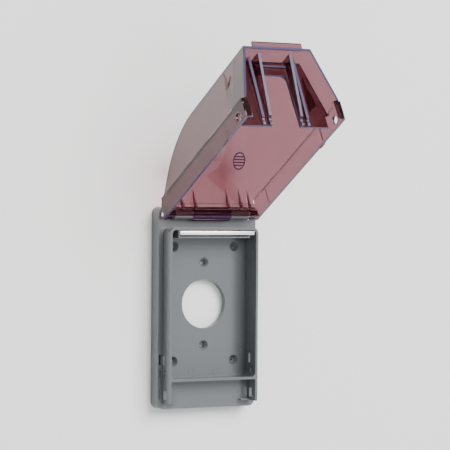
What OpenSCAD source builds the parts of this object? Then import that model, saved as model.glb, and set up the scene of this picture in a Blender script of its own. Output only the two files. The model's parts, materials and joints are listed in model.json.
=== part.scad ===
// Weatherproof while-in-use cover for a single receptacle, hinged lid held open.
// X runs across the cover, Y runs into the wall and Z runs up.
// The origin is the centre of the receptacle opening, on the front face of the plate.

/* [Base] */
// Width of the base flange
base_w = 79.8; // [79:0.1:82]
// Top edge of the base flange above the opening centre
base_top = 70.5; // [69.5:0.5:72]
// Bottom edge of the base flange below the opening centre
base_bottom = 75.2; // [75:0.5:78]
// Thickness of the moulded walls of the flange
flange_wall = 2.2; // [1.8:0.1:2.4]
// Height of the flange face in front of the plate face
flange_rise = 5.3; // [5.2:0.1:5.6]
// Distance from the plate face back to the wall surface
wall_depth = 6; // [5.8:0.1:7]
// Thickness of the mounting plate
plate_t = 3; // [2.8:0.1:3.2]

/* [Tub] */
// Outer width of the tub
tub_w = 72.4; // [72:0.1:72.6]
// Outer top face of the tub above the opening centre
tub_top = 55.6; // [55:0.1:56]
// Outer bottom face of the tub below the opening centre
tub_bottom = 54.9; // [54:0.1:55]
// Lower ends of the tub side walls below the opening centre
cheek_bottom = 70.8; // [70:0.1:71]
// Height of the tub rim in front of the plate face
tub_rise = 16.4; // [16:0.1:16.6]
// Thickness of the tub walls
tub_wall = 1.8; // [1.6:0.1:2]

/* [Receptacle] */
// Diameter of the receptacle opening
opening_d = 35.71; // [35:0.01:36.5]
// Distance between the two strap screw holes
strap_pitch = 60.33; // [60:0.01:61]
// Through diameter of a strap screw hole
strap_hole_d = 4.2; // [3.8:0.1:4.6]
// Countersink diameter of a strap screw hole
strap_sink_d = 7.4; // [6.8:0.1:7.8]
// Horizontal distance between the corner screw bosses
corner_x = 50; // [49.5:0.1:50.5]
// Vertical distance between the corner screw bosses
corner_z = 83.34; // [83:0.01:84]
// Mouth diameter of a corner screw boss
corner_sink_d = 7.6; // [7:0.1:7.8]
// Pilot hole diameter of a corner screw boss
pilot_d = 1.6; // [1.2:0.1:2]

/* [Hinge] */
// Hinge axis in front of the plate face
hinge_front = 9.2; // [9:0.1:9.4]
// Hinge axis above the opening centre
hinge_z = 64.8; // [64.6:0.1:65]
// Diameter of the hinge pin
pin_d = 3; // [2.8:0.1:3.1]
// Radial running clearance round the hinge pin
pin_play = 0.05; // [0.03:0.01:0.08]
// Outer diameter of the base knuckles
knuckle_d = 7; // [6.6:0.1:7.2]
// Angle by which the lid stands open
open_angle = 120.2; // [110:0.1:120.4]

/* [Lid] */
// Outer width of the lid at its rim
lid_w = 78.2; // [78:0.1:78.4]
// Length of the lid skirt
lid_len = 139.9; // [139.8:0.1:141]
// Height of the lid skirt
skirt_h = 14.8; // [14.5:0.1:15.2]
// Height of the lid front face over the rim plane
dome_h = 56.2; // [55:0.1:57]
// Outer width of the dome where it leaves the skirt
dome_w = 74.6; // [74.4:0.1:75]
// Lean of the dome side walls
dome_lean = 14.3; // [13:0.1:15]
// Thickness of the lid walls
lid_wall = 1.9; // [1.8:0.1:2.1]
// Distance from the lid hinge end to its cord wall
cord_wall_at = 124; // [123.6:0.1:124.4]
// Width of the cord slot
cord_slot_w = 22.6; // [20:0.2:24]

/* [Hidden] */
$fn = 64;
eps = 0.01;

flange_y = -flange_rise;
rim_y = -tub_rise;
hinge_y = -hinge_front;
hinge_end_top = hinge_z + 2.1;       // closed height of the lid's hinge end
lid_rim_y = flange_y - 0.3;          // closed place of the lid's rim plane
back_y = wall_depth;
tub_in = tub_w / 2 - tub_wall;

// Knuckles: base pair outside, lid barrel in the middle, lid cheeks at the ends.
knuckle_in = 15.6;
knuckle_out = 30.4;
barrel_half = 15;
lid_barrel_d = 6.8;
bore_r = pin_d / 2 + pin_play;
pin_half = lid_w / 2 - 0.1;
hinge_u = hinge_end_top - hinge_z;     // hinge axis in the lid's (length, height) plane
hinge_v = lid_rim_y - hinge_y;
tab_drop = 0.6;                        // reach of the middle knuckle past the rim plane
cover_wall = 1.1;

// Corner screw bosses: a cone down to a flat ring with a pilot hole.
corner_flat_d = 3.4;
corner_depth = 3.5;
corner_boss_d = 8.2;
corner_boss_back = 4.9;

// Windows: snap slots, drain slots and hasp windows.
snap_z = [-43.2, -36.1];
drain_z = [-52, -47.4];
hasp_z = [-68.2, -61.5];

// Spring pocket under the tub's top wall.
pocket_half = 28.3;
pocket_wall = 1;
pocket_floor_z = 49.1;
spring_z = 50.3;
spring_h = 2.8;
spring_t = 0.5;

// Dome side profile, in the lid's (length, height) plane.
dome_r = 48;
dome_c = [56.1, dome_h - dome_r];
end_slope = 63;
hood_len = lid_len + 1.3;
dome_low = skirt_h - 4;
return_t = 1.6;
rib_t = 1;

// 2D rounded rectangle from (x0, y0) to (x1, y1).
module rounded(x0, y0, x1, y1, r) {
    translate([x0 + r, y0]) square([x1 - x0 - 2 * r, y1 - y0]);
    translate([x0, y0 + r]) square([x1 - x0, y1 - y0 - 2 * r]);
    for (x = [x0 + r, x1 - r], y = [y0 + r, y1 - r]) translate([x, y]) circle(r);
}

// 2D rectangle from (x0, y0) to (x1, y1).
module rect(x0, y0, x1, y1) {
    translate([x0, y0]) square([x1 - x0, y1 - y0]);
}

// Extrudes an (x, z) outline from depth y0 to depth y1.
module slab(y0, y1) {
    translate([0, y1, 0]) rotate([90, 0, 0]) linear_extrude(y1 - y0) children();
}

// A cylinder along Y from y0 to y1 at (x, z), with radius r0 at y0 and r1 at y1.
module rod_y(x, z, y0, y1, r0, r1) {
    translate([x, y1, z]) rotate([90, 0, 0]) cylinder(h = y1 - y0, r1 = r1, r2 = r0);
}

// A cylinder along X on the hinge axis.
module rod_x(x0, x1, r) {
    translate([x0, hinge_y, hinge_z]) rotate([0, 90, 0]) cylinder(h = x1 - x0, r = r);
}

// A box from corner a to corner b.
module box(a, b) {
    translate(a) cube(b - a);
}

// ---- base ----

module flange_shell() {
    half = base_w / 2;
    inner = half - flange_wall;
    difference() {
        slab(flange_y, back_y) rounded(-half, -base_bottom, half, base_top, 5);
        slab(flange_y + flange_wall, back_y + 1)
            rounded(-inner, -base_bottom + flange_wall, inner, base_top - flange_wall, 3);
        slab(flange_y - 1, back_y)
            rect(-tub_in, -tub_bottom + tub_wall, tub_in, tub_top - tub_wall);
    }
}

module tub_outline() {
    half = tub_w / 2;
    rounded(-half, -tub_bottom, half, tub_top, 4.5);
    rect(-half, -tub_bottom, half, 0);
}

module tub_walls() {
    half = tub_w / 2;
    difference() {
        slab(rim_y, plate_t) tub_outline();
        slab(rim_y - 1, plate_t + 1)
            rounded(-tub_in, -tub_bottom + tub_wall, tub_in, tub_top - tub_wall, 3);
    }
    for (side = [-1, 1])
        slab(rim_y, flange_y + flange_wall)
            rect(side > 0 ? tub_in : -half, -cheek_bottom, side > 0 ? half : -tub_in, -tub_bottom + 1);
}

module plate() {
    slab(0, plate_t) rect(-tub_in - 1, -tub_bottom + 1, tub_in + 1, tub_top - 1);
    rod_y(0, 0, plate_t - 1, plate_t + 1.6, opening_d / 2 + 2.2, opening_d / 2 + 2.2);
    for (x = [-1, 1], z = [-1, 1])
        rod_y(x * corner_x / 2, z * corner_z / 2, plate_t - 1, corner_boss_back,
              corner_boss_d / 2, corner_boss_d / 2);
    for (z = [-1, 1])
        rod_y(0, z * strap_pitch / 2, plate_t - 1, plate_t + 1.6, 4.6, 4.6);
}

module plate_holes() {
    rod_y(0, 0, -1, back_y, opening_d / 2, opening_d / 2);
    for (z = [-1, 1]) {
        rod_y(0, z * strap_pitch / 2, -1, back_y, strap_hole_d / 2, strap_hole_d / 2);
        rod_y(0, z * strap_pitch / 2, -eps, 1.9, strap_sink_d / 2, strap_hole_d / 2);
    }
    for (x = [-1, 1], z = [-1, 1]) {
        rod_y(x * corner_x / 2, z * corner_z / 2, -eps, corner_depth,
              corner_sink_d / 2, corner_flat_d / 2);
        rod_y(x * corner_x / 2, z * corner_z / 2, -1, back_y, pilot_d / 2, pilot_d / 2);
    }
}

// Box under the tub's top wall that holds the spring.
module spring_pocket() {
    top = tub_top - tub_wall + 0.5;
    difference() {
        box([-pocket_half - pocket_wall, rim_y + 0.6, pocket_floor_z - pocket_wall],
            [pocket_half + pocket_wall, 0.5, top]);
        box([-pocket_half, rim_y - 1, pocket_floor_z], [pocket_half, -1, top + 1]);
        box([pocket_half - 1, rim_y - 1, spring_z - 0.2],
            [pocket_half + 2, rim_y + 1.4, spring_z + spring_h + 0.3]);
    }
}

// Windows through the side walls of the tub and slots in the flange face beside them.
module side_windows() {
    half = tub_w / 2;
    for (side = [-1, 1]) {
        inner = side > 0 ? tub_in - 1 : -half - 1;
        outer = side > 0 ? half + 1 : -tub_in + 1;
        box([inner, -8.4, snap_z[0]], [outer, flange_y - 0.3, snap_z[1]]);
        box([inner, -9.4, drain_z[0]], [outer, -7.6, drain_z[1]]);
        box([inner, -13, hasp_z[0]], [outer, -7, hasp_z[1]]);
        for (span = [snap_z, drain_z, hasp_z])
            box([side * 38.3 - 0.75, flange_y - 1, span[0]],
                [side * 38.3 + 0.75, flange_y + flange_wall - (span == snap_z ? -1 : 1), span[1]]);
    }
}

module base_knuckles() {
    for (side = [-1, 1]) {
        x0 = side > 0 ? knuckle_in : -knuckle_out;
        x1 = side > 0 ? knuckle_out : -knuckle_in;
        rod_x(x0, x1, knuckle_d / 2);
        box([x0, hinge_y, hinge_z - knuckle_d / 2], [x1, flange_y + 1, hinge_z + 2]);
    }
}

// Small ledges that tie the lower ends of the side walls to the flange face.
module corner_ledges() {
    for (side = [-1, 1])
        box([side > 0 ? 26.5 : -tub_in - 0.5, -9.5, -70.6],
            [side > 0 ? tub_in + 0.5 : -26.5, flange_y + 1, -69.6]);
}

// Stiffening ribs across the hollow back of the flange.
module back_ribs() {
    half = base_w / 2 - flange_wall + 0.5;
    for (x = [-24, 0, 24])
        box([x - 0.7, flange_y + 1, -base_bottom + 1], [x + 0.7, 2.6, -tub_bottom + 1]);
    for (x = [-24, 24])
        box([x - 0.7, flange_y + 1, tub_top - 1], [x + 0.7, 2.6, base_top - 1]);
    for (side = [-1, 1], z = [-30, 0, 30])
        box([side > 0 ? tub_in : -half, flange_y + 1, z - 0.7],
            [side > 0 ? half : -tub_in, 2.6, z + 0.7]);
}

module base_housing() {
    color([0.55, 0.57, 0.59])
    difference() {
        union() {
            flange_shell();
            tub_walls();
            plate();
            spring_pocket();
            base_knuckles();
            corner_ledges();
            back_ribs();
        }
        plate_holes();
        side_windows();
        rod_x(-knuckle_out - 1, knuckle_out + 1, bore_r);
        box([-barrel_half - 0.6, flange_y - 1, 60.6], [barrel_half + 0.6, flange_y + 3, 69.3]);
    }
}

// ---- lid, built closed in (x, length, height) and then opened ----

// Stands a (length, height) outline up and extrudes it from x0 to x1.
module lid_side(x0, x1) {
    translate([x0, lid_rim_y, hinge_end_top])
        rotate([0, 90, 0]) mirror([0, 1, 0]) linear_extrude(x1 - x0) children();
}

// Extrudes an (x, height) outline along the lid from length u0 to u1.
module lid_across(u0, u1) {
    translate([0, lid_rim_y, hinge_end_top - u1])
        mirror([0, 1, 0]) linear_extrude(u1 - u0) children();
}

// A box in lid coordinates (x, length, height).
module lid_box(a, b) {
    lid_side(a[0], b[0]) rect(a[1], a[2], b[1], b[2]);
}

// Side profile of the dome, drawn inward by t: a sloping end, an arc and a flat front.
module dome_profile(t) {
    r = dome_r - t;
    n = [-sin(end_slope), cos(end_slope)];
    start = dome_c + r * n;
    foot = start - [cos(end_slope), sin(end_slope)] * (start[1] - dome_low) / sin(end_slope);
    intersection() {
        union() {
            intersection() {
                translate(dome_c) circle(r, $fn = 128);
                polygon([dome_c, dome_c + 2 * dome_r * n, dome_c + [0, 2 * dome_r]]);
            }
            polygon([start, foot, [dome_c[0], dome_low]]);
            rect(dome_c[0] - 2, dome_low, hood_len + (t > 0 ? 1 : 0), dome_h - t);
        }
        rect(-20, dome_low, hood_len + 20, dome_h + 20);
    }
}

// Cross-section of the dome, drawn inward by t.
module dome_section(t) {
    spread = tan(dome_lean);
    half_low = dome_w / 2 - t + (skirt_h - dome_low) * spread;
    half_high = dome_w / 2 - t - (dome_h - skirt_h) * spread;
    polygon([[-half_low, dome_low], [half_low, dome_low], [half_high, dome_h], [-half_high, dome_h]]);
}

module dome(t) {
    intersection() {
        lid_side(-lid_w, lid_w) dome_profile(t);
        lid_across(-5, hood_len + 5) dome_section(t);
    }
}

// Side outline of the skirt: its hinge end leans back to clear the flange.
module skirt_outline(t) {
    low = t > 0 ? -1 : 0;
    polygon([[t + 1.1, low], [t, low + 1.5], [t, 1.5], [t + 5.6, skirt_h - t], [lid_len + 1, skirt_h - t],
             [lid_len + 1, low]]);
}

module lid_shell() {
    half = lid_w / 2;
    difference() {
        union() {
            lid_side(-half, half) skirt_outline(0);
            dome(0);
        }
        lid_side(-half + lid_wall, half - lid_wall) skirt_outline(lid_wall);
        dome(lid_wall);
        lid_box([-half - 1, lid_len, -1], [half + 1, lid_len + 2, skirt_h]);
    }
}

// Inward returns at the far ends of the skirt.
module skirt_returns() {
    for (side = [-1, 1])
        lid_box([side > 0 ? 33.4 : -38, lid_len - return_t, 0.6],
                [side > 0 ? 38 : -33.4, lid_len, skirt_h]);
}

// Wall across the lid with the cord slot and its guide fins.
module cord_wall() {
    u0 = cord_wall_at;
    u1 = u0 + lid_wall;
    half = cord_slot_w / 2;
    top = dome_h - 1;
    difference() {
        intersection() {
            union() {
                lid_across(u0, u1) rect(-33.4, 2, 33.4, 14);
                lid_across(u0, u1) rect(-37, 12, 37, top);
                for (side = [-1, 1]) {
                    fin(side * (half + 1.1), 12.4, 3.4);
                    fin(side * (half + 6.2), 6.4, 2.6);
                }
                lid_box([-half - 1, u0 + 1, 48.4], [half + 1, u0 + 4.4, 50]);
            }
            union() {
                dome(0.6);
                lid_box([-33.4, u0, 2], [33.4, hood_len, 14]);
            }
        }
        lid_across(u0 - 1, hood_len) {
            rounded(-half, 20, half, 43.6, 5);
            rect(-half, 0, half, 38);
        }
    }
}

// A guide fin beside the cord slot, tall under the front face and low at the rim.
module fin(x, tall, low) {
    u0 = cord_wall_at + 0.5;
    lid_side(x - 1, x + 1)
        polygon([[u0, 2.4], [u0 + low, 2.4], [u0 + low + 0.8, 6], [u0 + tall, dome_h - 1], [u0, dome_h - 1]]);
}

// Finger lip on the front face's free edge.
module finger_lip() {
    lid_box([-18.5, hood_len - lid_wall, dome_h - 1], [20.5, hood_len, dome_h + 4.2]);
}

// Lid barrel on the hinge axis, cheeks for the pin and clearance for the base knuckles.
module lid_hinge() {
    half = lid_w / 2;
    difference() {
        union() {
            rod_x(-barrel_half, barrel_half, lid_barrel_d / 2);
            lid_box([-barrel_half, 0.2, hinge_v], [barrel_half, hinge_u + 2.1, 8]);
            lid_box([-barrel_half, 0, -tab_drop], [barrel_half, hinge_u, hinge_v]);
            for (side = [-1, 1])
                rod_x(side > 0 ? 31.2 : -half, side > 0 ? half : -31.2, 3.2);
        }
        rod_x(-half - 1, half + 1, bore_r);
    }
}

// Low cross ribs inside the skirt.
module skirt_ribs() {
    for (side = [-1, 1], u = [24.8, 110.4])
        lid_box([side > 0 ? 36.6 : -37.6, u - 0.4, 0.8], [side > 0 ? 37.6 : -36.6, u + 0.4, 12.6]);
}

// Thin gussets inside the lid's sloping hinge end.
module hinge_end_ribs() {
    intersection() {
        union() {
            for (x = [-31, -24, -13.5, 13.5, 24, 31])
                lid_side(x - rib_t / 2, x + rib_t / 2)
                    polygon([[2, 8], [6.2, 6.2], [9.6, 5.4], [11.2, 24.3], [8, 27]]);
        }
        union() {
            dome(0.6);
            lid_side(-37.6, 37.6) skirt_outline(0.6);
        }
    }
}

// Wall inside the hinge end that covers the knuckles from below and round their front.
module knuckle_cover() {
    room = knuckle_d / 2 + 0.5;
    lid_side(-lid_w / 2 + lid_wall - 0.4, lid_w / 2 - lid_wall + 0.4)
        difference() {
            polygon([[1, 0], [hinge_u + room + cover_wall, 0], [hinge_u + room + 0.6, 5.6],
                     [5.2, 8.6], [1.4, 8.6]]);
            translate([hinge_u, hinge_v]) circle(room);
            rect(-1, -1, hinge_u + room, hinge_v);
        }
}

module knuckle_room() {
    for (side = [-1, 1])
        rod_x(side > 0 ? knuckle_in - 0.5 : -knuckle_out - 0.5,
              side > 0 ? knuckle_out + 0.5 : -knuckle_in + 0.5, knuckle_d / 2 + 0.5);
}

module skirt_holes() {
    half = lid_w / 2;
    translate([-half - 1, lid_rim_y - 5.6, hinge_end_top - 130.4])
        rotate([0, 90, 0]) cylinder(h = lid_w + 2, d = 6.4);
}

module snap_nubs() {
    for (side = [-1, 1])
        lid_box([side > 0 ? 37.9 : -38.7, 103.4, -1.2], [side > 0 ? 38.7 : -37.9, 109.4, 1]);
}

module opened() {
    translate([0, hinge_y, hinge_z]) rotate([-open_angle, 0, 0])
        translate([0, -hinge_y, -hinge_z]) children();
}

module lid() {
    color([0.62, 0.42, 0.46, 0.55])
    opened() {
        difference() {
            union() {
                lid_shell();
                hinge_end_ribs();
                knuckle_cover();
                skirt_ribs();
                skirt_returns();
                cord_wall();
                finger_lip();
                snap_nubs();
            }
            knuckle_room();
            skirt_holes();
            rod_x(-lid_w, lid_w, bore_r);
        }
        lid_hinge();
    }
}

// ---- small pieces ----

module hinge_pin() {
    color([0.8, 0.81, 0.83]) rod_x(-pin_half, pin_half, pin_d / 2);
}

module hold_open_spring() {
    color([0.93, 0.93, 0.94])
        box([-pocket_half + 0.4, rim_y + 0.5, spring_z],
            [tub_in - 1.3, rim_y + 0.5 + spring_t, spring_z + spring_h]);
}

module wall_gasket() {
    half = base_w / 2 - flange_wall - 0.4;
    color([0.12, 0.12, 0.13])
    difference() {
        slab(plate_t, back_y)
            rounded(-half, -base_bottom + flange_wall + 0.4, half, base_top - flange_wall - 0.4, 3);
        slab(plate_t - 1, back_y + 1) rounded(-30, -48, 30, 48, 4);
    }
}

base_housing();
lid();
hinge_pin();
hold_open_spring();
wall_gasket();
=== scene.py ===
"""Weatherproof in-use outlet cover: a gray moulded base and a tinted, hinged clear lid."""

from __future__ import annotations

import json
import logging
import math
from dataclasses import dataclass
from enum import Enum
from typing import Iterable

import bpy
from mathutils import Matrix, Vector

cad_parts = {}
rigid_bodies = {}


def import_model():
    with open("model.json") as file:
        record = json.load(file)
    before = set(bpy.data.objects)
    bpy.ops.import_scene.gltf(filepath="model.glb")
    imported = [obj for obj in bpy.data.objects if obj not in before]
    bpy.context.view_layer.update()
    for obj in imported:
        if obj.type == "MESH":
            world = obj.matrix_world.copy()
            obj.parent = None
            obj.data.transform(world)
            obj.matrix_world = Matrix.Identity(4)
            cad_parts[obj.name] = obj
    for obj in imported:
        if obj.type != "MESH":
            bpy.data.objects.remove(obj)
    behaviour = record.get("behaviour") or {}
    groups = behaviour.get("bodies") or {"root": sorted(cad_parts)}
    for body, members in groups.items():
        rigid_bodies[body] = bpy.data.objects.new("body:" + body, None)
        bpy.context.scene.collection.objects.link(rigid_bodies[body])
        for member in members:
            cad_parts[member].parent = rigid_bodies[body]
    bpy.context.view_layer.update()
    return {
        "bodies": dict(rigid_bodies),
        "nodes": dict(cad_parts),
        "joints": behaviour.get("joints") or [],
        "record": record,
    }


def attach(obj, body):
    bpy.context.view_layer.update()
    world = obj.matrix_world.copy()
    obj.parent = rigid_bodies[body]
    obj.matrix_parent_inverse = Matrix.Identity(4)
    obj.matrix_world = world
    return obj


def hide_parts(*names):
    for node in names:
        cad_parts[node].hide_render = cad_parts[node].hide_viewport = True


LOG = logging.getLogger("outlet_cover")
MM = 0.001

Point = tuple[float, float, float]
Colour = tuple[float, float, float]


class Body(Enum):
    """The rigid bodies that pieces ride on."""

    BASE = "base"
    LID = "lid"


class Axis(Enum):
    """A direction that a round primitive is turned to."""

    X = "X"
    Y = "Y"
    Z = "Z"


# ---------------------------------------------------------------- mesh tools


def deselect() -> None:
    """Deselects every object."""
    for other in bpy.context.selected_objects:
        other.select_set(False)


def activate(obj: bpy.types.Object) -> bpy.types.Object:
    """Makes an object the only selected one and the active one.

    Args:
        obj: the object to work on.

    Returns:
        The same object.
    """
    deselect()
    obj.select_set(True)
    bpy.context.view_layer.objects.active = obj
    return obj


def place_in_mesh(obj: bpy.types.Object) -> None:
    """Moves an object's place, turn and scale into its mesh."""
    activate(obj)
    bpy.ops.object.transform_apply(location=True, rotation=True, scale=True)


def apply_modifiers(obj: bpy.types.Object) -> None:
    """Applies every modifier of an object in order."""
    activate(obj)
    for name in [modifier.name for modifier in obj.modifiers]:
        bpy.ops.object.modifier_apply(modifier=name)


def copy_of(node: bpy.types.Object, name: str) -> bpy.types.Object:
    """Copies a design node and joins its loose triangles into clean faces.

    Args:
        node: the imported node.
        name: the new piece's name.

    Returns:
        The copy, with its own mesh.
    """
    copy = node.copy()
    copy.data = node.data.copy()
    copy.name = name
    copy.data.name = name
    copy.parent = None
    for key in list(copy.keys()):
        del copy[key]
    bpy.context.scene.collection.objects.link(copy)
    copy.data.materials.clear()
    activate(copy)
    if copy.data.has_custom_normals:
        bpy.ops.mesh.customdata_custom_splitnormals_clear()
    bpy.ops.object.mode_set(mode="EDIT")
    bpy.ops.mesh.select_all(action="SELECT")
    bpy.ops.mesh.remove_doubles(threshold=2e-6)
    bpy.ops.mesh.dissolve_limited(angle_limit=math.radians(0.6))
    bpy.ops.object.mode_set(mode="OBJECT")
    return copy


def soften(obj: bpy.types.Object, width: float, segments: int = 2, angle: float = 28.0,
           slot: int = -1) -> None:
    """Rounds the sharp edges of a moulding.

    Args:
        obj: the piece.
        width: width of the rounding in metres.
        segments: faces across the rounding.
        angle: edges sharper than this, in degrees, are rounded.
        slot: material slot of the rounded faces, or -1 to keep their neighbours' slot.
    """
    bevel = obj.modifiers.new("edge_rounding", "BEVEL")
    bevel.width = width
    bevel.segments = segments
    bevel.limit_method = "ANGLE"
    bevel.angle_limit = math.radians(angle)
    bevel.use_clamp_overlap = True
    bevel.miter_outer = "MITER_ARC"
    bevel.material = slot
    apply_modifiers(obj)


def smooth(obj: bpy.types.Object, angle: float = 30.0) -> None:
    """Shades an object smooth, apart from edges sharper than an angle in degrees."""
    activate(obj)
    bpy.ops.object.shade_smooth_by_angle(angle=math.radians(angle))


def even_shading(obj: bpy.types.Object) -> None:
    """Lets the large flat faces set the shading, so that only the roundings look round."""
    weigh = obj.modifiers.new("even_shading", "WEIGHTED_NORMAL")
    weigh.keep_sharp = True
    apply_modifiers(obj)


def block(name: str, low: Point, high: Point) -> bpy.types.Object:
    """Adds a box between two corners.

    Args:
        name: name of the new object.
        low: lowest corner in metres.
        high: highest corner in metres.

    Returns:
        The box.
    """
    deselect()
    centre = (Vector(low) + Vector(high)) / 2
    size = Vector(high) - Vector(low)
    bpy.ops.mesh.primitive_cube_add(size=1, location=centre, scale=size)
    made = bpy.context.object
    made.name = name
    place_in_mesh(made)
    return made


def drum(name: str, centre: Point, radius: float, length: float, axis: Axis,
         sides: int = 48) -> bpy.types.Object:
    """Adds a cylinder.

    Args:
        name: name of the new object.
        centre: its middle, in metres.
        radius: its radius in metres.
        length: its length in metres.
        axis: the direction it runs in.
        sides: faces round it.

    Returns:
        The cylinder.
    """
    deselect()
    turn = {Axis.X: (0, math.pi / 2, 0), Axis.Y: (math.pi / 2, 0, 0), Axis.Z: (0, 0, 0)}[axis]
    bpy.ops.mesh.primitive_cylinder_add(
        vertices=sides, radius=radius, depth=length, location=centre, rotation=turn)
    made = bpy.context.object
    made.name = name
    place_in_mesh(made)
    return made


# ---------------------------------------------------------------- shader groups


class NodeTree:
    """A short way to build node trees."""

    def __init__(self, tree: bpy.types.NodeTree) -> None:
        """Wraps a node tree."""
        self.tree = tree

    def add(self, kind: str, **values: object) -> bpy.types.Node:
        """Adds a node.

        Args:
            kind: the node's type name.
            values: node properties, or input values where no property has the name.

        Returns:
            The node.
        """
        node = self.tree.nodes.new(kind)
        for key, value in values.items():
            if hasattr(node, key):
                setattr(node, key, value)
            else:
                node.inputs[key.replace("_", " ").title()].default_value = value
        return node

    def link(self, source: bpy.types.NodeSocket, target: bpy.types.NodeSocket) -> None:
        """Links two sockets."""
        self.tree.links.new(source, target)


def new_group(name: str, inputs: Iterable[tuple[str, str, object]],
              outputs: Iterable[tuple[str, str]]) -> NodeTree:
    """Makes an empty shader group with named sockets.

    Args:
        name: the group's name.
        inputs: name, socket type and default value of each input.
        outputs: name and socket type of each output.

    Returns:
        The group's tree.
    """
    tree = bpy.data.node_groups.new(name, "ShaderNodeTree")
    for label, kind, default in inputs:
        socket = tree.interface.new_socket(name=label, in_out="INPUT", socket_type=kind)
        socket.default_value = default
    for label, kind in outputs:
        tree.interface.new_socket(name=label, in_out="OUTPUT", socket_type=kind)
    return NodeTree(tree)


class ShaderGroups:
    """The effects that more than one finish uses, each built once."""

    def __init__(self) -> None:
        """Builds the groups."""
        self.moulded = self._moulded()
        self.brushed = self._brushed()

    @staticmethod
    def _moulded() -> bpy.types.NodeTree:
        """Builds the moulded plastic effect: fine grain and flow marks.

        Returns:
            The node group.
        """
        kit = new_group(
            "moulded_plastic",
            [("Base", "NodeSocketColor", (0.3, 0.3, 0.3, 1)), ("Variation", "NodeSocketFloat", 0.04),
             ("Roughness", "NodeSocketFloat", 0.35), ("Roughness Spread", "NodeSocketFloat", 0.08),
             ("Grain Scale", "NodeSocketFloat", 1400.0), ("Flow Scale", "NodeSocketFloat", 22.0)],
            [("Color", "NodeSocketColor"), ("Roughness", "NodeSocketFloat"), ("Height", "NodeSocketFloat")])
        enter = kit.add("NodeGroupInput")
        leave = kit.add("NodeGroupOutput")
        place = kit.add("ShaderNodeTexCoord")
        stretch = kit.add("ShaderNodeMapping")
        stretch.inputs["Scale"].default_value = (1.0, 1.0, 0.35)
        kit.link(place.outputs["Object"], stretch.inputs["Vector"])
        flow = kit.add("ShaderNodeTexNoise")
        flow.inputs["Detail"].default_value = 4.0
        flow.inputs["Distortion"].default_value = 0.6
        kit.link(stretch.outputs["Vector"], flow.inputs["Vector"])
        kit.link(enter.outputs["Flow Scale"], flow.inputs["Scale"])
        grain = kit.add("ShaderNodeTexNoise")
        grain.inputs["Detail"].default_value = 2.0
        kit.link(place.outputs["Object"], grain.inputs["Vector"])
        kit.link(enter.outputs["Grain Scale"], grain.inputs["Scale"])

        centred = kit.add("ShaderNodeMath", operation="SUBTRACT")
        kit.link(flow.outputs["Fac"], centred.inputs[0])
        centred.inputs[1].default_value = 0.5
        shade = kit.add("ShaderNodeMath", operation="MULTIPLY_ADD")
        kit.link(centred.outputs[0], shade.inputs[0])
        kit.link(enter.outputs["Variation"], shade.inputs[1])
        shade.inputs[2].default_value = 1.0
        tint = kit.add("ShaderNodeVectorMath", operation="SCALE")
        kit.link(enter.outputs["Base"], tint.inputs[0])
        kit.link(shade.outputs[0], tint.inputs["Scale"])
        kit.link(tint.outputs[0], leave.inputs["Color"])

        polish = kit.add("ShaderNodeMath", operation="MULTIPLY_ADD")
        kit.link(centred.outputs[0], polish.inputs[0])
        kit.link(enter.outputs["Roughness Spread"], polish.inputs[1])
        kit.link(enter.outputs["Roughness"], polish.inputs[2])
        kit.link(polish.outputs[0], leave.inputs["Roughness"])

        height = kit.add("ShaderNodeMath", operation="MULTIPLY_ADD")
        kit.link(flow.outputs["Fac"], height.inputs[0])
        height.inputs[1].default_value = 0.8
        kit.link(grain.outputs["Fac"], height.inputs[2])
        kit.link(height.outputs[0], leave.inputs["Height"])
        return kit.tree

    @staticmethod
    def _brushed() -> bpy.types.NodeTree:
        """Builds the drawn metal effect: long fine lines along X.

        Returns:
            The node group.
        """
        kit = new_group(
            "drawn_metal",
            [("Roughness", "NodeSocketFloat", 0.2), ("Line Scale", "NodeSocketFloat", 2500.0)],
            [("Roughness", "NodeSocketFloat"), ("Height", "NodeSocketFloat")])
        enter = kit.add("NodeGroupInput")
        leave = kit.add("NodeGroupOutput")
        place = kit.add("ShaderNodeTexCoord")
        stretch = kit.add("ShaderNodeMapping")
        stretch.inputs["Scale"].default_value = (0.02, 1.0, 1.0)
        lines = kit.add("ShaderNodeTexNoise")
        lines.inputs["Detail"].default_value = 3.0
        kit.link(place.outputs["Object"], stretch.inputs["Vector"])
        kit.link(stretch.outputs["Vector"], lines.inputs["Vector"])
        kit.link(enter.outputs["Line Scale"], lines.inputs["Scale"])
        polish = kit.add("ShaderNodeMath", operation="MULTIPLY_ADD")
        kit.link(lines.outputs["Fac"], polish.inputs[0])
        polish.inputs[1].default_value = 0.12
        kit.link(enter.outputs["Roughness"], polish.inputs[2])
        kit.link(polish.outputs[0], leave.inputs["Roughness"])
        kit.link(lines.outputs["Fac"], leave.inputs["Height"])
        return kit.tree


# ---------------------------------------------------------------- finishes


def lead_effect(kit: NodeTree, effect: bpy.types.Node, shader: bpy.types.Node, strength: float,
                distance: float) -> None:
    """Leads an effect's colour, roughness and height to a shader.

    Args:
        kit: the material's tree.
        effect: the effect's group node.
        shader: the shader.
        strength: strength of the bump that the height makes.
        distance: depth of that bump in metres.
    """
    bump = kit.add("ShaderNodeBump")
    bump.inputs["Strength"].default_value = strength
    bump.inputs["Distance"].default_value = distance
    if "Color" in effect.outputs:
        kit.link(effect.outputs["Color"], shader.inputs["Base Color"])
    kit.link(effect.outputs["Roughness"], shader.inputs["Roughness"])
    kit.link(effect.outputs["Height"], bump.inputs["Height"])
    kit.link(bump.outputs["Normal"], shader.inputs["Normal"])


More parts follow.
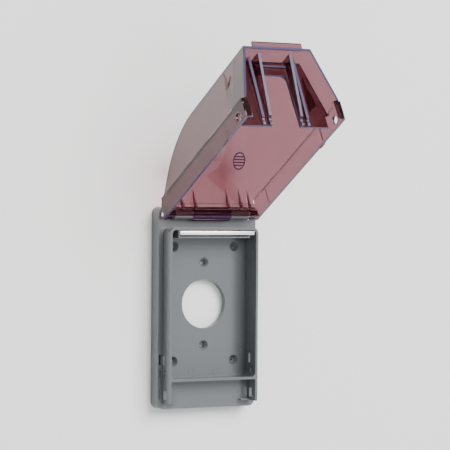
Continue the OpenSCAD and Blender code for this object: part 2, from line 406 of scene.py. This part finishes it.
@dataclass(frozen=True)
class MouldedPlastic:
    """Opaque semi-gloss moulded plastic."""

    name: str
    colour: Colour
    roughness: float
    variation: float = 0.08
    bump: float = 0.03
    specular: float = 0.5

    def build(self, groups: ShaderGroups) -> bpy.types.Material:
        """Builds the material.

        Args:
            groups: the shared shader groups.

        Returns:
            The material.
        """
        material = bpy.data.materials.new(self.name)
        material.use_nodes = True
        kit = NodeTree(material.node_tree)
        shader = kit.tree.nodes["Principled BSDF"]
        shader.inputs["Specular IOR Level"].default_value = self.specular
        effect = kit.add("ShaderNodeGroup", node_tree=groups.moulded)
        effect.inputs["Base"].default_value = (*self.colour, 1)
        effect.inputs["Variation"].default_value = self.variation
        effect.inputs["Roughness"].default_value = self.roughness
        lead_effect(kit, effect, shader, self.bump, 0.4 * MM)
        return material


@dataclass(frozen=True)
class TintedClear:
    """Clear moulded polycarbonate with a tint, which lets a tinted light fall through it."""

    name: str
    colour: Colour
    shade: Colour
    roughness: float = 0.03
    clarity: float = 1.0
    ior: float = 1.38
    bump: float = 0.006

    def build(self, groups: ShaderGroups) -> bpy.types.Material:
        """Builds the material.

        Args:
            groups: the shared shader groups.

        Returns:
            The material.
        """
        material = bpy.data.materials.new(self.name)
        material.use_nodes = True
        kit = NodeTree(material.node_tree)
        shader = kit.tree.nodes["Principled BSDF"]
        shader.inputs["Transmission Weight"].default_value = self.clarity
        shader.inputs["IOR"].default_value = self.ior
        effect = kit.add("ShaderNodeGroup", node_tree=groups.moulded)
        effect.inputs["Base"].default_value = (*self.colour, 1)
        effect.inputs["Variation"].default_value = 0.05
        effect.inputs["Roughness"].default_value = self.roughness
        effect.inputs["Roughness Spread"].default_value = 0.02
        lead_effect(kit, effect, shader, self.bump, 0.3 * MM)

        ray = kit.add("ShaderNodeLightPath")
        veil = kit.add("ShaderNodeBsdfTransparent")
        veil.inputs["Color"].default_value = (*self.shade, 1)
        mix = kit.add("ShaderNodeMixShader")
        kit.link(ray.outputs["Is Shadow Ray"], mix.inputs["Fac"])
        kit.link(shader.outputs["BSDF"], mix.inputs[1])
        kit.link(veil.outputs["BSDF"], mix.inputs[2])
        kit.link(mix.outputs["Shader"], kit.tree.nodes["Material Output"].inputs["Surface"])
        return material


@dataclass(frozen=True)
class DrawnMetal:
    """Bright drawn steel."""

    name: str
    colour: Colour
    roughness: float
    bump: float = 0.05

    def build(self, groups: ShaderGroups) -> bpy.types.Material:
        """Builds the material.

        Args:
            groups: the shared shader groups.

        Returns:
            The material.
        """
        material = bpy.data.materials.new(self.name)
        material.use_nodes = True
        kit = NodeTree(material.node_tree)
        shader = kit.tree.nodes["Principled BSDF"]
        shader.inputs["Base Color"].default_value = (*self.colour, 1)
        shader.inputs["Metallic"].default_value = 1.0
        effect = kit.add("ShaderNodeGroup", node_tree=groups.brushed)
        effect.inputs["Roughness"].default_value = self.roughness
        lead_effect(kit, effect, shader, self.bump, 0.2 * MM)
        return material


GRAY_PLASTIC = MouldedPlastic("gray_moulding", (0.098, 0.106, 0.113), 0.22)
CLEAR_LID = TintedClear("tinted_polycarbonate", (0.25, 0.115, 0.135), (0.92, 0.87, 0.87))
# Painted shade: the lid's cut and rounded edges get a deep violet, rougher and less clear finish. It stands
# in for the dark refraction that these clear edges show.
LID_EDGE_SHADE = TintedClear("lid_edge_painted_shade", (0.055, 0.045, 0.115), (0.86, 0.80, 0.84),
                       roughness=0.30, clarity=0.35)
LID_DEEP = TintedClear("tinted_thick_parts", (0.075, 0.030, 0.085), (0.7, 0.6, 0.65),
                       roughness=0.2, clarity=0.5)
STEEL = DrawnMetal("pin_steel", (0.78, 0.78, 0.80), 0.18)
SPRING_STEEL = DrawnMetal("spring_strip", (0.97, 0.97, 0.97), 0.28)
FOAM = MouldedPlastic("gasket_foam", (0.025, 0.025, 0.028), 0.85, variation=0.5, bump=0.5)


# ---------------------------------------------------------------- sub-assemblies


@dataclass
class Piece:
    """A finished object and what it rides on."""

    obj: bpy.types.Object
    body: Body
    slot: str
    replaces: tuple[str, ...] = ()

    def register(self) -> None:
        """Tells the frame what the piece rides on and what it stands for."""
        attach(self.obj, self.body.value)
        if self.replaces:
            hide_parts(*self.replaces)
        LOG.info("%s rides on %s, %d faces", self.obj.name, self.body.value, len(self.obj.data.polygons))


def dress(obj: bpy.types.Object, *materials: bpy.types.Material) -> None:
    """Gives an object its materials, in slot order."""
    obj.data.materials.clear()
    for material in materials:
        obj.data.materials.append(material)


def joined(name: str, parts: list[bpy.types.Object]) -> bpy.types.Object:
    """Joins objects into one.

    Args:
        name: name of the result.
        parts: the objects, the first of which keeps its place.

    Returns:
        The joined object.
    """
    activate(parts[0])
    for part in parts:
        part.select_set(True)
    bpy.ops.object.join()
    parts[0].name = name
    return parts[0]


@dataclass
class Base:
    """The gray moulding that is fastened to the wall, with the marks its mould left."""

    rounding: float = 0.35 * MM
    apron_y: float = -5.3 * MM
    tub_inside: float = 34.4 * MM

    def build(self, frame: dict, gray: bpy.types.Material) -> list[Piece]:
        """Builds the base.

        Args:
            frame: the loaded frame.
            gray: the base's finish.

        Returns:
            The base's pieces.
        """
        shell = copy_of(frame["nodes"]["base_housing"], "base_moulding")
        soften(shell, self.rounding)
        smooth(shell)
        even_shading(shell)
        marks = self._mould_marks()
        for obj in (shell, marks):
            dress(obj, gray)
        return [Piece(shell, Body.BASE, "base_plastic", ("base_housing",)),
                Piece(marks, Body.BASE, "base_plastic")]

    def _mould_marks(self) -> bpy.types.Object:
        """Adds the low rings that ejector pins left on the plate, the side walls and the apron.

        Returns:
            All the rings as one object.
        """
        front, side = (math.pi / 2, 0, 0), (0, math.pi / 2, 0)
        places = [(29.7, 0, 32.5, front), (30.0, 0, -32.2, front), (-10.1, 0, -49.2, front),
                  (10.2, 0, -49.4, front)]
        rings = [self._ring((x * MM, y * MM, z * MM), turn, 2.4 * MM) for x, y, z, turn in places]
        rings += [self._ring((self.tub_inside, y * MM, z * MM), side, 2.4 * MM)
                  for y, z in ((-8.1, -32.0), (-8.4, 33.0), (-12.6, 42.6))]
        apron = self._ring((31.9 * MM, self.apron_y, -64.2 * MM), front, 2.3 * MM)
        apron.scale = (0.85, 1.8, 1.0)
        rings += [apron, self._ring((27.2 * MM, self.apron_y, -64.0 * MM), front, 2.0 * MM)]
        for ring in rings:
            place_in_mesh(ring)
        return joined("ejector_marks", rings)

    @staticmethod
    def _ring(place: Point, turn: Point, radius: float) -> bpy.types.Object:
        """Adds a very low ring that lies in a face."""
        deselect()
        bpy.ops.mesh.primitive_torus_add(
            major_radius=radius, minor_radius=0.14 * MM, major_segments=40, minor_segments=8,
            location=place, rotation=turn)
        ring = bpy.context.object
        smooth(ring, 60)
        return ring


@dataclass
class Hardware:
    """The spring strip and the rounded ends of the hinge pin."""

    spring_low: Point = (-27.9 * MM, -15.9 * MM, 50.3 * MM)
    spring_high: Point = (33.1 * MM, -15.4 * MM, 53.1 * MM)
    pin_end: Point = (39.0 * MM, -9.2 * MM, 64.8 * MM)
    pin_radius: float = 1.5 * MM

    def build(self, steel: bpy.types.Material, strip: bpy.types.Material) -> list[Piece]:
        """Builds the small metal pieces.

        Args:
            steel: the pin's finish.
            strip: the spring's finish.

        Returns:
            The pieces.
        """
        spring = self._spring()
        dress(spring, strip)
        ends = joined("pin_ends", [self._end(side) for side in (-1, 1)])
        dress(ends, steel)
        return [Piece(spring, Body.BASE, "spring_steel", ("hold_open_spring",)),
                Piece(ends, Body.BASE, "steel")]

    def _spring(self) -> bpy.types.Object:
        """Adds the strip with its rounded edges."""
        strip = block("hold_open_strip", self.spring_low, self.spring_high)
        soften(strip, 0.15 * MM, segments=3)
        smooth(strip)
        return strip

    def _end(self, side: int) -> bpy.types.Object:
        """Adds the low domed end of the pin on one side."""
        deselect()
        bpy.ops.mesh.primitive_uv_sphere_add(
            segments=32, ring_count=16, radius=self.pin_radius,
            location=(side * self.pin_end[0], self.pin_end[1], self.pin_end[2]), scale=(0.35, 1, 1))
        end = bpy.context.object
        place_in_mesh(end)
        smooth(end, 60)
        return end


@dataclass(frozen=True)
class LidPlace:
    """Where the lid stands when shut and how far it is opened."""

    hinge: Point = (0, -9.2 * MM, 64.8 * MM)
    rim_y: float = -5.6 * MM
    end_top: float = 66.9 * MM
    opening: float = math.radians(-120.2)

    def shut(self, x: float, along: float, out: float) -> Point:
        """Finds the shut place of a point, all in millimetres across, along and out from the lid."""
        return (x * MM, self.rim_y - out * MM, self.end_top - along * MM)

    def turn(self, angle: float) -> Matrix:
        """Makes the matrix that swings the lid by an angle about its hinge."""
        centre = Matrix.Translation(Vector(self.hinge))
        return centre @ Matrix.Rotation(angle, 4, "X") @ centre.inverted()

    def open_up(self, obj: bpy.types.Object) -> None:
        """Swings a piece that was built shut to its open place."""
        obj.matrix_world = self.turn(self.opening) @ obj.matrix_world
        place_in_mesh(obj)


@dataclass
class Lid:
    """The clear hinged lid."""

    rounding: float = 0.4 * MM
    place: LidPlace = LidPlace()
    hood_length: float = 141.2
    lip_height: float = 60.4
    slot_half: float = 11.3
    cord_wall: tuple[float, float] = (124.0, 125.9)
    fins_half: float = 19
    edge_band: float = 0.3
    knuckle_radius: float = 3.42 * MM
    knuckle_half: float = 15.03
    pad_at: Point = (24, 21.1, 38.2)
    pad_lean: float = math.radians(40.5)
    pad_radius: float = 5.0 * MM
    rib_steps: tuple[float, ...] = (-3.2, -1.1, 1.1, 3.2)
    wedge_at: Point = (31.2, 116.0, 31.7)
    wedge_scale: Point = (1 * MM, 17.5 * MM, 6.2 * MM)

    def build(self, frame: dict, clear: bpy.types.Material, edge_shade: bpy.types.Material,
              deep: bpy.types.Material) -> list[Piece]:
        """Builds the lid.

        Args:
            frame: the loaded frame.
            clear: the finish of the walls.
            edge_shade: the deep violet finish of the cut and rounded edges, painted shade for the dark
                refraction they show.
            deep: the finish of the thick parts.

        Returns:
            The lid's pieces.
        """
        shell = copy_of(frame["nodes"]["lid"], "clear_lid")
        dress(shell, clear, edge_shade)
        # The rounded faces take slot 1, the painted dark violet shade on the edges.
        soften(shell, self.rounding, segments=3, angle=10.0, slot=1)
        self._part_lip(shell)
        smooth(shell, 31.0)
        even_shading(shell)
        self._paint_edge_shade(shell)
        pieces = [Piece(shell, Body.LID, "lid_clear", ("lid",))]
        knuckle = self._thick_knuckle()
        dress(knuckle, deep)
        pieces.append(Piece(knuckle, Body.LID, "lid_clear"))
        for label, side in (("left", -1), ("right", 1)):
            pad, wedge = self._grip_pad(f"grip_pad_{label}", side), self._wedge(f"hood_wedge_{label}", side)
            dress(pad, deep)
            dress(wedge, clear)
            pieces += [Piece(pad, Body.LID, "lid_clear"), Piece(wedge, Body.LID, "lid_clear")]
        return pieces

    def _part_lip(self, shell: bpy.types.Object) -> None:
        """Cuts the finger lip's face off the hood's end face, so that the painted dark violet shade on the
        end face stops below the lip.
        """
        swing = self.place.turn(self.place.opening)
        cut = swing @ Vector(self.place.shut(0, self.hood_length, self.lip_height - 3.8))
        activate(shell)
        bpy.ops.object.mode_set(mode="EDIT")
        bpy.ops.mesh.select_all(action="SELECT")
        bpy.ops.mesh.bisect(plane_co=cut, plane_no=swing.to_3x3() @ Vector((0, -1, 0)))
        bpy.ops.object.mode_set(mode="OBJECT")

    def _is_edge(self, x: float, along: float, out: float, normal: Vector) -> bool:
        """Tells whether a face is one of the narrow faces at the walls' free edges."""
        faces_rim, faces_end = normal.y > 0.9, normal.z < -0.9
        across, band = abs(x), self.edge_band
        wall_start, wall_end = self.cord_wall
        under_lip = out < self.lip_height - 4.5
        rim = faces_rim and out < band
        hood = faces_end and along > self.hood_length - 0.2 and under_lip
        lip = normal.y < -0.9 and out > self.lip_height - band
        in_wall = wall_start - band < along < wall_end + band
        slot = across < self.slot_half + band and abs(normal.z) < 0.3 and in_wall
        fins = faces_end and across < self.fins_half and along > wall_end + 0.5 and under_lip
        foot = faces_rim and along > wall_start - band and out < 3
        return rim or hood or lip or slot or fins or foot

    def _paint_edge_shade(self, shell: bpy.types.Object) -> None:
        """Paints the narrow faces at the free edges dark violet: painted shade for the dark refraction at
        the edges.
        """
        shut = self.place.turn(-self.place.opening)
        for face in shell.data.polygons:
            centre = shut @ face.center
            normal = shut.to_3x3() @ face.normal
            along = (self.place.end_top - centre.z) / MM
            out = (self.place.rim_y - centre.y) / MM
            if self._is_edge(centre.x / MM, along, out, normal):
                face.material_index = 1

    def _thick_knuckle(self) -> bpy.types.Object:
        """Adds the thick middle knuckle round the pin."""
        half = self.knuckle_half
        tube = drum("middle_knuckle", self.place.hinge, self.knuckle_radius, 2 * half * MM, Axis.X)
        tab = block("knuckle_tab", self.place.shut(-half, 2.12, 3.57), self.place.shut(half, -0.03, -0.63))
        made = joined("middle_knuckle", [tube, tab])
        soften(made, 0.2 * MM)
        smooth(made)
        self.place.open_up(made)
        return made

    def _grip_pad(self, name: str, side: int) -> bpy.types.Object:
        """Adds an oval ribbed pad on the inside of the dome's curve.

        Args:
            name: name of the pad.
            side: -1 for the left pad, 1 for the right one.

        Returns:
            The pad.
        """
        across, along, out = self.pad_at
        centre = Vector(self.place.shut(side * across, along, out))
        deselect()
        bpy.ops.mesh.primitive_torus_add(
            major_radius=self.pad_radius, minor_radius=0.45 * MM, major_segments=48, minor_segments=8)
        oval = bpy.context.object
        oval.scale = (0.95, 1.22, 1.0)
        place_in_mesh(oval)
        corner = Vector((4.0, 0.5, 0.4)) * MM
        ribs = []
        for step in self.rib_steps:
            middle = Vector((0, step * MM, 0))
            ribs.append(block(f"{name}_rib", middle - corner, middle + corner))
        pad = joined(name, [oval, *ribs])
        smooth(pad)
        pad.matrix_world = Matrix.Translation(centre) @ Matrix.Rotation(self.pad_lean, 4, "X")
        place_in_mesh(pad)
        self.place.open_up(pad)
        return pad

    def _wedge(self, name: str, side: int) -> bpy.types.Object:
        """Adds the thin wedge that props the cord wall against the dome's side.

        Args:
            name: name of the wedge.
            side: -1 for the left wedge, 1 for the right one.

        Returns:
            The wedge.
        """
        deselect()
        bpy.ops.mesh.primitive_cylinder_add(
            vertices=3, radius=1, depth=0.8, rotation=(0, math.pi / 2, math.pi))
        wedge = bpy.context.object
        wedge.name = name
        place_in_mesh(wedge)
        wedge.scale = self.wedge_scale
        across, along, out = self.wedge_at
        wedge.location = self.place.shut(side * across, along, out)
        place_in_mesh(wedge)
        self.place.open_up(wedge)
        return wedge


@dataclass
class Studio:
    """The pale wall and floor, the soft lights and the camera."""

    wall_y: float = 6.2 * MM
    camera_yaw: float = 28.863
    camera_pitch: float = -0.424
    camera_roll: float = -0.429
    camera_distance: float = 1561.5 * MM
    camera_target: Point = (13.4 * MM, -6.9 * MM, 57.44 * MM)
    lens: float = 171.42
    paint: Colour = (0.82, 0.83, 0.82)
    air: float = 0.42

    def build(self) -> None:
        """Builds the surroundings, the lights and the camera."""
        self._wall()
        self._lights()
        self._camera()

    def _wall(self) -> None:
        """Adds a plain pale wall behind the object and a floor far below it."""
        material = bpy.data.materials.new("studio_paint")
        material.use_nodes = True
        shader = material.node_tree.nodes["Principled BSDF"]
        shader.inputs["Base Color"].default_value = (*self.paint, 1)
        shader.inputs["Roughness"].default_value = 0.9
        for name, place, turn in (
            ("studio_wall", (0, self.wall_y, 0), (math.pi / 2, 0, 0)),
            ("studio_floor", (0, 0, -1.4), (0, 0, 0)),
        ):
            deselect()
            bpy.ops.mesh.primitive_plane_add(size=8, location=place, rotation=turn)
            plane = bpy.context.object
            plane.name = name
            dress(plane, material)

    def _light(self, name: str, place: Point, aim: Point, size: float, power: float) -> None:
        """Adds a square soft light.

        Args:
            name: its name.
            place: where it stands, in metres.
            aim: the point it faces.
            size: its width in metres.
            power: its power in watts.
        """
        data = bpy.data.lights.new(name, "AREA")
        data.size = size
        data.energy = power
        light = bpy.data.objects.new(name, data)
        bpy.context.scene.collection.objects.link(light)
        light.location = place
        light.rotation_mode = "QUATERNION"
        light.rotation_quaternion = (Vector(aim) - Vector(place)).to_track_quat("-Z", "Y")

    def _lights(self) -> None:
        """Adds the soft lights and a faint even surround."""
        world = bpy.data.worlds.new("studio_air")
        world.use_nodes = True
        background = world.node_tree.nodes["Background"]
        background.inputs["Color"].default_value = (1, 1, 1, 1)
        background.inputs["Strength"].default_value = self.air
        bpy.context.scene.world = world
        self._light("key", (1.0, -2.6, 1.7), (0, 0, 0.05), 2.0, 196)
        self._light("left", (-1.5, -2.4, 0.9), (0, 0, 0.05), 1.3, 20)
        self._light("front", (1.5, -2.7, 0.0), (0, 0, 0.02), 1.6, 12)

    def _camera(self) -> None:
        """Adds the camera at its viewing angle."""
        yaw, pitch = math.radians(self.camera_yaw), math.radians(self.camera_pitch)
        ahead = Vector((math.sin(yaw) * math.cos(pitch), math.cos(yaw) * math.cos(pitch), math.sin(pitch)))
        data = bpy.data.cameras.new("camera")
        data.lens = self.lens
        data.clip_end = 20
        camera = bpy.data.objects.new("camera", data)
        bpy.context.scene.collection.objects.link(camera)
        camera.rotation_mode = "QUATERNION"
        camera.location = Vector(self.camera_target) - ahead * self.camera_distance
        level = ahead.to_track_quat("-Z", "Y")
        roll = Matrix.Rotation(math.radians(self.camera_roll), 3, ahead).to_quaternion()
        camera.rotation_quaternion = roll @ level
        bpy.context.scene.camera = camera


# ---------------------------------------------------------------- build


def main() -> None:
    """Builds the object and its surroundings in order."""
    logging.basicConfig(level=logging.INFO, format="%(message)s")
    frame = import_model()
    groups = ShaderGroups()
    pieces: list[Piece] = []
    pieces += Base().build(frame, GRAY_PLASTIC.build(groups))
    pieces += Lid().build(frame, CLEAR_LID.build(groups), LID_EDGE_SHADE.build(groups), LID_DEEP.build(groups))
    steel = STEEL.build(groups)
    pieces += Hardware().build(steel, SPRING_STEEL.build(groups))
    dress(frame["nodes"]["hinge_pin"], steel)
    dress(frame["nodes"]["wall_gasket"], FOAM.build(groups))
    for piece in pieces:
        piece.register()
    Studio().build()


if __name__ == "__main__":
    main()
